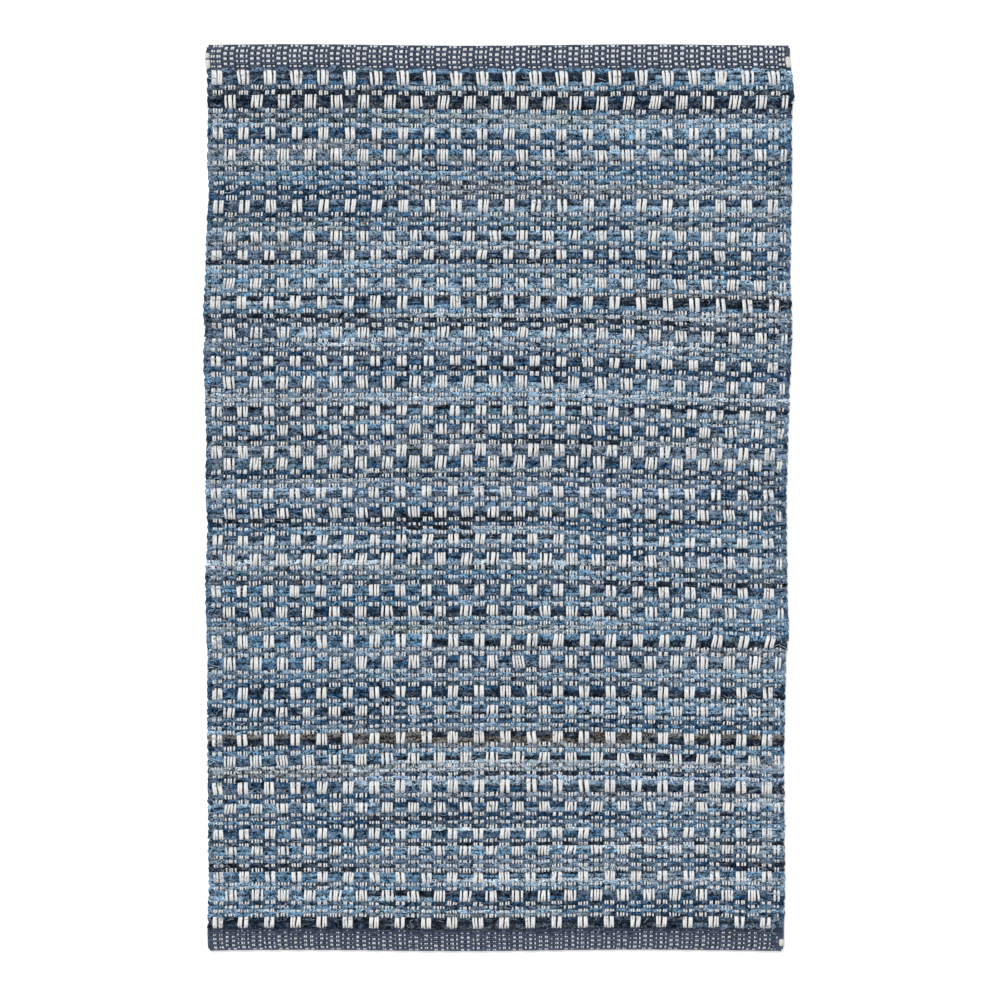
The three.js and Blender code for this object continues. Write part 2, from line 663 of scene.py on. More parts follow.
class YarnSweep:
    """Sweeps yarns along their paths with Geometry Nodes."""

    def __init__(self) -> None:
        """Build the node tree once, for every kind of yarn."""
        bench = NodeBench(bpy.data.node_groups.new("Yarn_sweep", "GeometryNodeTree"))
        self.tree, self.bench = bench.tree, bench
        bench.socket("Paths", "Geometry")
        self.sides = bench.socket("Sides", "Int", 6)
        self.turn = bench.socket("Turn of the section", "Float", 0.0)
        self.lumps = bench.socket("Lump height", "Float", 0.0)
        self.lump_size = bench.socket("Lumps in a metre", "Float", 300.0)
        self.material = bench.socket("Yarn", "Material")
        bench.socket("Yarns", "Geometry", output=True)
        given = bench.put("NodeGroupInput").outputs
        paths = bench.out("GeometryNodeMeshToCurve", {"Mesh": given["Paths"]})
        level = bench.out("GeometryNodeSetCurveNormal", {"Curve": paths}, mode="Z_UP")
        tilt = {"Curve": level, "Tilt": given["Turn of the section"]}
        tilted = bench.out("GeometryNodeSetCurveTilt", tilt)
        circle = {"Resolution": given["Sides"], "Radius": 1.0}
        ring = bench.out("GeometryNodeCurvePrimitiveCircle", circle)
        index = bench.out("GeometryNodeInputIndex")
        count = {"Geometry": ring, "Name": "round", "Value": index}
        section = bench.out("GeometryNodeStoreNamedAttribute", count, data_type="FLOAT")
        sweep = {"Curve": tilted, "Profile Curve": section, "Scale": self.named("girth")}
        swept = bench.out("GeometryNodeCurveToMesh", {**sweep, "Fill Caps": True})
        lumpy = self.roughen(self.flatten(swept), given)
        smooth = bench.out("GeometryNodeSetShadeSmooth", {"Geometry": lumpy})
        real = bench.out("GeometryNodeRealizeInstances", {"Geometry": smooth})
        finish = {"Geometry": real, "Material": given["Yarn"]}
        bench.put("NodeGroupOutput", {"Yarns": bench.out("GeometryNodeSetMaterial", finish)})

    def named(self, name: str) -> Socket:
        """Read one of the numbers that the paths carry."""
        node = self.bench.put("GeometryNodeInputNamedAttribute", {"Name": name}, data_type="FLOAT")
        return node.outputs["Attribute"]

    def flatten(self, swept: Socket) -> Socket:
        """Press the round yarns flat towards the height of their paths."""
        bench = self.bench
        place = bench.out("GeometryNodeInputPosition")
        x, y, z = bench.put("ShaderNodeSeparateXYZ", {0: place}).outputs
        level = self.named("level")
        above = bench.math("SUBTRACT", z, level)
        pressed = bench.math("MULTIPLY_ADD", above, self.named("flat"), level)
        point = bench.out("ShaderNodeCombineXYZ", {"X": x, "Y": y, "Z": pressed})
        return bench.out("GeometryNodeSetPosition", {"Geometry": swept, "Position": point})

    def roughen(self, yarns: Socket, given: Any) -> Socket:
        """Make a yarn's surface lumpy, as torn rags are."""
        bench = self.bench
        noise = bench.noise(given["Lumps in a metre"], 1.0).outputs["Fac"]
        height = bench.math("MULTIPLY", bench.math("SUBTRACT", noise, 0.5), given["Lump height"])
        push = bench.scaled(bench.out("GeometryNodeInputNormal"), height)
        return bench.out("GeometryNodeSetPosition", {"Geometry": yarns, "Offset": push})

    def make(
        self,
        name: str,
        strands: Sequence[Strand],
        sides: int,
        material: bpy.types.Material,
        lane: float,
        lumps: float = 0.0,
        lumps_in_a_metre: float = 300.0,
        turn: float = 0.0,
    ) -> Piece:
        """Sweep a set of strands into one plain mesh.

        Args:
            name: The piece's name.
            strands: The yarns' paths.
            sides: How many sides a yarn's section has.
            material: The yarns' finish.
            lane: Length of one lane of the map, in millimetres.
            lumps: Height of the lumps on a yarn, in millimetres.
            lumps_in_a_metre: How close together they are.
            turn: How far the section is turned about the path, in degrees.

        Returns:
            The piece, with a map in which each yarn is a straight strip.
        """
        maker = bpy.data.objects.new(name + "_paths", self.paths(strands, lane))
        bpy.context.scene.collection.objects.link(maker)
        modifier = maker.modifiers.new("Yarn sweep", "NODES")
        modifier.node_group = self.tree
        modifier[self.sides] = sides
        modifier[self.turn] = math.radians(turn)
        modifier[self.lumps] = lumps * MM
        modifier[self.lump_size] = lumps_in_a_metre
        modifier[self.material] = material
        graph = bpy.context.evaluated_depsgraph_get()
        mesh = bpy.data.meshes.new_from_object(maker.evaluated_get(graph), depsgraph=graph)
        mesh.name = name
        bpy.data.objects.remove(maker, do_unlink=True)
        self.rest_on_surface(mesh)
        self.unwrap(mesh, sides)
        piece = bpy.data.objects.new(name, mesh)
        bpy.context.scene.collection.objects.link(piece)
        return piece

    def paths(self, strands: Sequence[Strand], lane: float) -> bpy.types.Mesh:
        """Lay all the paths in one mesh of edges, with what the sweep needs on its points."""
        counts = [len(strand.points) for strand in strands]
        points = np.concatenate([np.array(strand.points) for strand in strands]) * MM
        edges, first = [], 0
        for count in counts:
            ends = np.arange(first, first + count - 1)
            edges.append(np.stack([ends, ends + 1], axis=1))
            first += count
        edges = np.concatenate(edges)
        mesh = bpy.data.meshes.new("paths")
        mesh.vertices.add(len(points))
        mesh.vertices.foreach_set("co", points.ravel())
        mesh.edges.add(len(edges))
        mesh.edges.foreach_set("vertices", edges.ravel())
        lanes, along, yards, row, cursor = [], [], [], 0, 0.0
        for strand in strands:
            run = strand.lengths()
            if cursor > 0 and cursor + run[-1] > lane:
                row, cursor = row + 1, 0.0
            lanes.append(np.full(len(run), float(row)))
            along.append((cursor + run) / lane)
            yards.append(run)
            cursor += run[-1] + 1.5
        rows = row + 1
        values = {
            "girth": np.concatenate([strand.girth for strand in strands]) * MM,
            "flat": np.concatenate([strand.flat for strand in strands]),
            "level": points[:, 2],
            "lane": np.concatenate(lanes) / rows,
            "lanes": np.full(len(points), float(rows)),
            "along": np.concatenate(along),
            "run": np.concatenate(yards) * MM,
        }
        for name, numbers in values.items():
            layer = mesh.attributes.new(name, "FLOAT", "POINT")
            layer.data.foreach_set("value", numbers.astype(np.float32))
        tints = np.concatenate([np.array(strand.tint) for strand in strands])
        tints = np.concatenate([tints, np.ones((len(tints), 1))], axis=1)
        layer = mesh.attributes.new("tint", "FLOAT_COLOR", "POINT")
        layer.data.foreach_set("color", tints.astype(np.float32).ravel())
        return mesh

    def rest_on_surface(self, mesh: bpy.types.Mesh) -> None:
        """Flatten the yarns where the rug lies on the surface."""
        places = np.empty(len(mesh.vertices) * 3, np.float32)
        mesh.vertices.foreach_get("co", places)
        places[2::3] = np.maximum(places[2::3], 0.0)
        mesh.vertices.foreach_set("co", places)
        mesh.update()

    def unwrap(self, mesh: bpy.types.Mesh, sides: int) -> None:
        """Write the two maps, and drop the numbers that only the sweep needed.

        Args:
            mesh: The swept yarns.
            sides: How many sides a yarn's section has.
        """
        corners = np.empty(len(mesh.loops), np.int32)
        mesh.loops.foreach_get("vertex_index", corners)
        starts = np.empty(len(mesh.polygons), np.int32)
        mesh.polygons.foreach_get("loop_start", starts)
        totals = np.empty(len(mesh.polygons), np.int32)
        mesh.polygons.foreach_get("loop_total", totals)

        def read(name: str) -> np.ndarray:
            numbers = np.empty(len(mesh.vertices), np.float32)
            mesh.attributes[name].data.foreach_get("value", numbers)
            return numbers[corners].astype(float)

        turn, along, run = read("round"), read("along"), read("run")
        lane, lanes = read("lane"), read("lanes")
        step = np.maximum.reduceat(along, starts) - np.minimum.reduceat(along, starts)
        cap = np.repeat(step < 1e-7, totals)
        last = np.repeat(np.maximum.reduceat(turn, starts), totals)
        wrapped = np.where(~cap & (last > sides - 1.5) & (turn < 0.5), float(sides), turn)
        angle = 2 * math.pi * turn / sides
        u = 0.004 + 0.99 * along + np.where(cap, 0.0015 * np.cos(angle), 0.0)
        share = np.where(cap, 0.5 + 0.3 * np.sin(angle), wrapped / sides)
        v = lane + (0.05 + 0.9 * share) / lanes
        for name, first, second in (("OFBake", u, v), ("Yarn", run, wrapped / sides)):
            layer = mesh.uv_layers.new(name=name)
            both = np.stack([first, second], axis=1).astype(np.float32)
            layer.data.foreach_set("uv", both.ravel())
        mesh.uv_layers["OFBake"].active_render = True
        for name in ("girth", "flat", "level", "lane", "lanes", "along", "run", "round"):
            mesh.attributes.remove(mesh.attributes[name])


class FibreMottle:
    """The speckle and the curly fibres of spun and torn cotton, shared by every yarn's finish."""

    # how much the palest specks are bleached, and to what
    BLEACH = 0.07
    BLEACHED = (0.3, 0.42, 0.56, 1)
    # how dark the painted shade in the gaps between fibres is, and what the loose fibres are like
    FIBRE_GAP_SHADE = 0.22
    FIBRE_SHARE = 0.52
    FIBRE = (0.46, 0.59, 0.75, 1)
    FIBRE_HEIGHT = 0.6
    # a rag this light in its green shows all its fibres, and a black one only this share of them
    FADED = 0.11
    LEAST_SHOWN = 0.42
    # how many bends the fibres have in a metre, and how far they stray
    BENDS = 330.0
    STRAY = 0.006
    # the curls, the patches that they come in and the coarse specks, as shares of the fine ones
    CURL_SCALE = 0.45
    PATCH_SCALE = 0.2
    COARSE_SCALE = 0.27
    COARSE_SHARE = 0.25

    def __init__(self) -> None:
        """Build the shader group once."""
        bench = NodeBench(bpy.data.node_groups.new("Fibre_mottle", "ShaderNodeTree"))
        self.tree, self.bench = bench.tree, bench
        bench.socket("Tint", "Color", (0.5, 0.5, 0.5, 1))
        bench.socket("Stretch", "Vector", (1, 1, 1))
        bench.socket("Specks in a metre", "Float", 700.0)
        bench.socket("Darkest", "Float", 0.5)
        bench.socket("Lightest", "Float", 1.4)
        bench.socket("Curls", "Float", 0.0)
        bench.socket("Colour", "Color", output=True)
        bench.socket("Height", "Float", output=True)
        given = bench.put("NodeGroupInput").outputs
        tint, scale, curly = given["Tint"], given["Specks in a metre"], given["Curls"]
        where = self.stray(given["Stretch"])
        value = self.speckle(where, scale)
        lighter = bench.scaled(tint, given["Lightest"])
        bleached = self.mix(bench.math("MULTIPLY", curly, self.BLEACH), lighter, self.BLEACHED)
        mottled = self.mix(value, bench.scaled(tint, given["Darkest"]), bleached)
        # painted shade: thin curly lines darkened as if shade fell in the gaps between fibres
        gaps = self.curls(bench.vector("ADD", where, (0.31, 0.17, 0.23)), scale)
        gap_shade = bench.math("MULTIPLY", gaps, curly)
        darker = self.mix(gap_shade, mottled, bench.scaled(mottled, self.FIBRE_GAP_SHADE))
        pale = self.mix(self.FIBRE_SHARE, lighter, self.FIBRE)
        shown = bench.math("MULTIPLY", self.curls(where, scale), self.showing(tint))
        amount = bench.math("MULTIPLY", shown, curly)
        colour = self.soften(self.mix(amount, darker, pale))
        height = bench.math("MULTIPLY_ADD", amount, self.FIBRE_HEIGHT, value)
        bench.put("NodeGroupOutput", {"Colour": colour, "Height": height})

    def showing(self, tint: Socket) -> Socket:
        """Give how much the fibres show, which is less on a dark rag that has lost fewer."""
        parts = self.bench.put("ShaderNodeSeparateColor", {0: tint})
        return self.bench.ranged(parts.outputs["Green"], 0.0, self.FADED, self.LEAST_SHOWN)

    def soften(self, colour: Socket) -> Socket:
        """Hold back the palest colours, as no cotton is brighter than white."""
        rest = self.bench.vector("MULTIPLY_ADD", colour, (0.4, 0.4, 0.4), (0.94, 0.94, 0.94))
        return self.bench.vector("DIVIDE", colour, rest)

    def stray(self, stretch: Socket) -> Socket:
        """Give the place on the piece, stretched along the yarn and pushed about by noise."""
        bench = self.bench
        where = bench.put("ShaderNodeTexCoord").outputs["Object"]
        spread = bench.vector("MULTIPLY", where, stretch)
        push = bench.noise(self.BENDS, 1.0, Vector=where).outputs["Color"]
        centred = bench.vector("SUBTRACT", push, (0.5, 0.5, 0.5))
        return bench.vector("MULTIPLY_ADD", centred, (self.STRAY,) * 3, spread)

    def speckle(self, where: Socket, scale: Socket) -> Socket:
        """Mix fine and coarse specks into one value from 0 to 1."""
        bench = self.bench
        fine = bench.noise(scale, 0.5, Vector=where).outputs["Fac"]
        wide = bench.math("MULTIPLY", scale, self.COARSE_SCALE)
        coarse = bench.noise(wide, 1.0, Vector=where).outputs["Fac"]
        both = bench.math("MULTIPLY_ADD", coarse, self.COARSE_SHARE, fine)
        return bench.ranged(both, 0.56, 0.695)

    def curls(self, where: Socket, scale: Socket) -> Socket:
        """Give a mask of thin curly lines, like fibres that have worked loose."""
        bench = self.bench
        wide = bench.math("MULTIPLY", scale, self.CURL_SCALE)
        lines = bench.noise(wide, 0.5, Vector=where, Distortion=0.6).outputs["Fac"]
        away = bench.math("ABSOLUTE", bench.math("SUBTRACT", lines, 0.5))
        wider = bench.math("MULTIPLY", scale, self.PATCH_SCALE)
        patches = bench.noise(wider, 1.0, Vector=where).outputs["Fac"]
        gate = bench.ranged(patches, 0.46, 0.56)
        return bench.math("MULTIPLY", bench.ranged(away, 0.11, 0.05), gate)

    def mix(self, share: Any, first: Any, second: Any) -> Socket:
        """Mix two colours by a share."""
        inputs = {0: share, 6: first, 7: second}
        return self.bench.put("ShaderNodeMix", inputs, data_type="RGBA").outputs[2]


@dataclass(frozen=True)
class YarnFinish:
    """How a kind of yarn looks close up."""

    name: str
    specks_in_a_metre: float
    stretch: tuple[float, float, float]
    darkest: float
    lightest: float
    curls: float
    twist: float
    turns: float
    roughness: float = 0.9
    sheen: float = 0.02
    bump: float = 0.6
    shine: float = 0.06
    relief: float = 0.0006

    def make(self, mottle: FibreMottle) -> bpy.types.Material:
        """Build the material.

        Args:
            mottle: The shared speckle.

        Returns:
            A material that reads each yarn's own tint.
        """
        material = bpy.data.materials.new(self.name)
        material.use_nodes = True
        material.node_tree.nodes.clear()
        bench = NodeBench(material.node_tree)
        tint = bench.put("ShaderNodeAttribute", attribute_name="tint")
        fibres = bench.put(
            "ShaderNodeGroup",
            {
                "Tint": tint.outputs["Color"],
                "Stretch": self.stretch,
                "Specks in a metre": self.specks_in_a_metre,
                "Darkest": self.darkest,
                "Lightest": self.lightest,
                "Curls": self.curls,
            },
            node_tree=mottle.tree,
        )
        height = self.twisted(bench, fibres.outputs["Height"])
        relief = {"Strength": self.bump, "Distance": self.relief, "Height": height}
        cotton = bench.out(
            "ShaderNodeBsdfPrincipled",
            {
                "Base Color": fibres.outputs["Colour"],
                "Roughness": self.roughness,
                "Sheen Weight": self.sheen,
                "Specular IOR Level": self.shine,
                "Normal": bench.out("ShaderNodeBump", relief),
            },
        )
        bench.put("ShaderNodeOutputMaterial", {"Surface": cotton})
        return material

    def twisted(self, bench: NodeBench, height: Socket) -> Socket:
        """Add the grooves between a yarn's twisted plies to its height."""
        uv = bench.out("ShaderNodeUVMap", uv_map="Yarn")
        run, share, _ = bench.put("ShaderNodeSeparateXYZ", {0: uv}).outputs
        phase = bench.math("MULTIPLY_ADD", share, 2.0, bench.math("MULTIPLY", run, self.turns))
        wave = bench.math("SINE", bench.math("MULTIPLY", phase, 2 * math.pi))
        return bench.math("MULTIPLY_ADD", wave, self.twist, height)


@dataclass
class Workshop:
    """What every maker of yarns needs: the plan, the sweep, the finishes and the dice."""

    plan: WeavePlan
    sweep: YarnSweep
    mottle: FibreMottle
    dice: np.random.Generator

    def spread(self, amount: float) -> float:
        """Give a small random difference, at most the amount either way."""
        return float(self.dice.uniform(-amount, amount))

    def weave(
        self,
        name: str,
        slot: str,
        finish: YarnFinish,
        strands: Sequence[Strand],
        sides: int,
        pieces: int = 1,
        lane: float = 0.0,
        **section: float,
    ) -> list[Piece]:
        """Sweep yarns into finished pieces.

        Args:
            name: The piece's name, which gets a number if there are several.
            slot: The record's material slot; not used.
            finish: How the yarns look.
            strands: The yarns' paths.
            sides: How many sides a yarn's section has.
            pieces: How many pieces the yarns are shared out over.
            lane: Length of one lane of the map, or 0 for the longest yarn's.
            section: Lumps and turn of the yarns, as the sweep takes them.

        Returns:
            The pieces.
        """
        material = finish.make(self.mottle)
        made = []
        for number in range(pieces):
            first = number * len(strands) // pieces
            part = strands[first : (number + 1) * len(strands) // pieces]
            size = lane or max(strand.lengths()[-1] for strand in part) + 1
            title = f"{name}_{number + 1}" if pieces > 1 else name
            piece = self.sweep.make(title, part, sides, material, size, **section)
            made.append(finish_piece(piece, slot))
        return made


def finish_piece(piece: Piece, slot: str) -> Piece:
    """Let a piece ride on the rug's body and stand for its cloth."""
    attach(piece, BODY)
    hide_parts(NODE)
    faces = sum(len(polygon.vertices) - 2 for polygon in piece.data.polygons)
    LOG.info("%s: %d triangles", piece.name, faces)
    return piece


@dataclass
class YarnMaker:
    """A maker of one kind of yarn for the rug."""

    shop: Workshop

    @property
    def plan(self) -> WeavePlan:
        """The cloth as it is set up on the loom."""
        return self.shop.plan


@dataclass(frozen=True)
class Bend:
    """A place where a white yarn's path bends.

    The end runs from -1 at a float's top to 1 at its bottom, and is 0 away from floats. In the
    heading arrangement the two columns of a repeat group their yarns the other way round.
    """

    down: float
    height: float
    swell: float
    block: int = 0
    end: float = 0.0
    heading: bool = False
    heading_arrangement: bool = False


@dataclass
class WhiteWarp(YarnMaker):
    """The white yarns, four to a column, which float over the rags."""

    width: float = 2.95
    thickness: float = 1.55
    heading_width: float = 2.5
    heading_thickness: float = 1.1
    heading_rise: float = 0.8
    bottom_rise: float = 0.4
    bottom_share: float = 0.72
    bottom_dim: float = 0.9
    narrow: tuple[float, ...] = (-4.15, -1.92, 1.92, 4.15)
    wide: tuple[float, ...] = (-4.8, -1.18, 1.18, 4.8)
    heading_narrow: tuple[float, ...] = (-4.0, -2.3, 2.3, 4.0)
    heading_wide: tuple[float, ...] = (-4.9, -0.85, 0.85, 4.9)
    first: tuple[float, ...] = (-3.4, -1.2, 2.5, 4.9)
    yarns_in_last: int = 2
    first_taper: float = 0.08
    first_swell: float = 1.18
    aside: float = 0.17
    shade_spread: float = 0.05
    girth_spread: float = 0.09
    heading_girth_spread: float = 0.25
    height_spread: float = 0.2
    slow_drift: float = 0.2
    quick_drift: float = 0.12
    heading_dim: Colour = (0.88, 0.9, 0.94)
    block_lean: float = 0.22
    yarn_lean: float = 0.2
    pieces: int = 4
    cotton: Colour = (1.29, 1.29, 1.28)

    def offsets(self, column: int, wide: bool, swapped: bool) -> tuple[float, ...]:
        """Give the places of a column's yarns.

        Args:
            column: The repeat's number.
            wide: Whether the column is the repeat's wide one.
            swapped: Whether the yarns lie in the heading arrangement.

        Returns:
            Offsets from the column's middle.
        """
        if column == 0 and not wide:
            return self.first
        if swapped:
            places = self.heading_narrow if wide else self.heading_wide
        else:
            places = self.wide if wide else self.narrow
        if wide and column == self.plan.columns - 1:
            places = self.wide[: self.yarns_in_last]
        return places

    def bends(self, wide: bool) -> list[Bend]:
        """List the places where a yarn's path bends.

        Args:
            wide: Whether the yarn is in a wide column.

        Returns:
            The bends, from the turned-under top end to the turned-under bottom end.
        """
        plan = self.plan
        up_shed = Shed.WIDE_UP if wide else Shed.NARROW_UP
        top = plan.body_thickness - self.thickness / 2
        low = self.thickness / 2
        body = []
        for row in plan.body_rows():
            size = row.end - row.start
            if row.shed is up_shed and row.tall:
                marks = ((0.1, top - 0.8, 0.94, -1), (0.3, top, 1.04, -0.6))
                marks += ((0.7, top, 1.04, 0.6), (0.9, top - 0.8, 0.94, 1))
            elif row.shed is up_shed:
                marks = ((0.41, top - 0.45, 0.7, -0.3), (0.59, top - 0.45, 0.7, 0.3))
            else:
                marks = ((0.5, low, 1.0, 0.0),)
            body += [
                Bend(
                    row.start + at * size,
                    z,
                    swell * (self.first_swell if row.row == 0 else 1.0),
                    row.row,
                    end,
                    False,
                    row.row == 0,
                )
                for at, z, swell, end in marks
            ]
        heading = self.heading(up_shed)
        first, last = heading[: plan.top_picks], heading[plan.top_picks :]
        return [*self.hem(up_shed, True), *first, *body, *last, *self.hem(up_shed, False)]

    def heading(self, up_shed: Shed) -> list[Bend]:
        """List the bends in the upper layer of both headings."""
        plan = self.plan
        return [
            Bend(
                pick.middle,
                plan.heading_middle + self.rise(pick, up_shed),
                1.0,
                heading=True,
                heading_arrangement=True,
            )
            for pick in plan.heading_picks()
        ]

    def hem(self, up_shed: Shed, top: bool) -> list[Bend]:
        """List the bends in the part of an end that is turned under."""
        plan = self.plan
        picks = plan.heading_picks()
        picks = picks[: plan.hem_picks] if top else picks[-plan.hem_picks :]
        if not top:
            picks.reverse()
        places = [(0.75 if top else plan.length - 0.75, plan.hem_thickness / 2)]
        places += [(pick.middle, plan.hem_middle + self.rise(pick, up_shed)) for pick in picks]
        turned = [Bend(down, z, 1.0, heading=True, heading_arrangement=True) for down, z in places]
        return turned[::-1] if top else turned

    def rise(self, pick: Pick, up_shed: Shed) -> float:
        """Give how far a yarn lies over or under the middle of a heading's layer."""
        rise = self.heading_rise if pick.middle < self.plan.top_heading else self.bottom_rise
        return rise if pick.shed is up_shed else -rise

    def strand(self, column: int, wide: bool, yarn: int, bends: Sequence, block: Any) -> Strand:
        """Lead one yarn through the rug.

        Args:
            column: The repeat's number.
            wide: Whether the yarn is in the wide column of the repeat.
            yarn: The yarn's number in the column.
            bends: Where its path bends.
            block: How the yarns of each float lean, spread and start together.

        Returns:
            The yarn's path.
        """
        shop, plan = self.shop, self.plan
        strand = Strand()
        shade = 1 + shop.spread(self.shade_spread)
        wander = shop.dice.uniform(0, 2 * math.pi, 2)
        leans = shop.dice.normal(0, self.yarn_lean, len(ROWS))
        aside = shop.dice.normal(0, self.aside, len(ROWS))
        for bend in bends:
            offset = self.offsets(column, wide, bend.heading_arrangement)[yarn]
            x, down = 0.0, bend.down
            if bend.end:
                lean, squeeze, late = block[bend.block]
                taper = self.first_taper if bend.block == 0 else 0.03 * squeeze
                offset *= 1 - 0.05 * abs(bend.end) - taper * bend.end
                x = (leans[bend.block] + lean * self.block_lean) * bend.end + aside[bend.block]
                down += 0.3 * late + shop.spread(0.2)
            drift = self.slow_drift * math.sin(down / 31 + wander[0])
            drift += self.quick_drift * math.sin(down / 11 + wander[1])
            x += plan.across(column + 0.5 * wide, offset + drift, down)
            half = (self.heading_width if bend.heading else self.width) / 2
            flat = (self.heading_thickness if bend.heading else self.thickness) / (2 * half)
            if bend.heading and bend.down > plan.body_end:
                half *= self.bottom_share
            uneven = self.heading_girth_spread if bend.heading else self.girth_spread
            girth = half * bend.swell * (1 + shop.spread(uneven))
            height = bend.height + shop.spread(self.height_spread)
            tint = np.array(self.cotton) * shade * (1 + shop.spread(0.04))
            if bend.heading:
                tint = tint * np.array(self.heading_dim)
                if bend.down > plan.body_end:
                    tint = tint * self.bottom_dim
            strand.add((x, plan.place(x, down), height), girth, flat, tint)
        return strand

    def build(self) -> list[Piece]:
        """Make all the white yarns, in pieces from left to right."""
        shop, plan = self.shop, self.plan
        finish = YarnFinish("white_cotton", 700, (1, 0.4, 1), 0.84, 1.08, 0.0, 0.25, 330, 0.85)
        bends = {wide: self.bends(wide) for wide in (False, True)}
        blocks = shop.dice.normal(0, 1, (plan.columns, 2, len(ROWS), 3))
        strands = [
            self.strand(column, wide, yarn, bends[wide], blocks[column, int(wide)])
            for column in range(plan.columns)
            for wide in (False, True)
            for yarn in range(len(self.offsets(column, wide, False)))
        ]
        lumps = {"lumps": 0.2, "lumps_in_a_metre": 500, "turn": 45}
        return shop.weave(
            "white_warp", "white_cotton", finish, strands, 4, pieces=self.pieces, **lumps
        )


@dataclass
class BindingWarp(YarnMaker):
    """Thin dark yarns between the white ones, which tie down every rag."""

    width: float = 1.1
    thickness: float = 0.8
    under_top: float = 0.35
    low: float = 1.0
    heading_rise: float = 0.45
    # in the body the yarns are tinted darker than in the headings: partly the yarn's own dark
    # slate, partly painted shade where they lie deep between the white floats
    slate: Colour = (0.026, 0.034, 0.056)
    heading_slate: Colour = (0.05, 0.064, 0.1)

    def places(self) -> list[tuple[float, float, Shed]]:
        """List the yarns of a repeat: half columns, offset, and the shed in which it is up."""
        return [
            (0.0, 0.0, Shed.WIDE_UP),
            (0.0, 6.6, Shed.NARROW_UP),
            (0.5, -3.4, Shed.NARROW_UP),
            (0.5, 3.4, Shed.NARROW_UP),
            (0.5, 7.0, Shed.WIDE_UP),
        ]

    def stations(self, up_shed: Shed) -> list[tuple[float, float]]:
        """List where a yarn bends, as distances down the rug and heights."""
        plan = self.plan
        top = plan.body_thickness - self.under_top
        ends = [
            (pick.middle, plan.heading_middle + self.rise(pick.shed, up_shed))
            for pick in plan.heading_picks()
        ]
        rows = [(row.middle, top if row.shed is up_shed else self.low) for row in plan.body_rows()]
        return ends[: plan.top_picks] + rows + ends[plan.top_picks :]

    def rise(self, shed: Shed, up_shed: Shed) -> float:
        """Give how far a yarn lies over or under the middle of a heading."""
        return self.heading_rise if shed is up_shed else -self.heading_rise

    def build(self) -> list[Piece]:
        """Make all the binding yarns as one piece."""
        shop, plan = self.shop, self.plan
        finish = YarnFinish("slate_cotton", 800, (1, 0.4, 1), 0.6, 1.4, 0.0, 0.3, 450, 0.9)
        strands = []
        for column in range(plan.columns):
            for half, offset, up_shed in self.places():
                if column == plan.columns - 1 and half > 0 and offset > 0:
                    continue
                strand = Strand()
                shade = 1 + shop.spread(0.15)
                for down, z in self.stations(up_shed):
                    in_body = plan.top_heading < down < plan.body_end
                    x = plan.across(column + half, offset + shop.spread(0.25), down)
                    girth = self.width / 2 * (1 + shop.spread(0.1))
                    flat = self.thickness / self.width
                    # painted shade: the darker body tint stands for the shade between the white
                    # floats
                    tint = np.array(self.slate if in_body else self.heading_slate) * shade
                    strand.add((x, plan.place(x, down), z), girth, flat, tint)
                strands.append(strand)
        return shop.weave("binding_warp", "slate_cotton", finish, strands, 3)


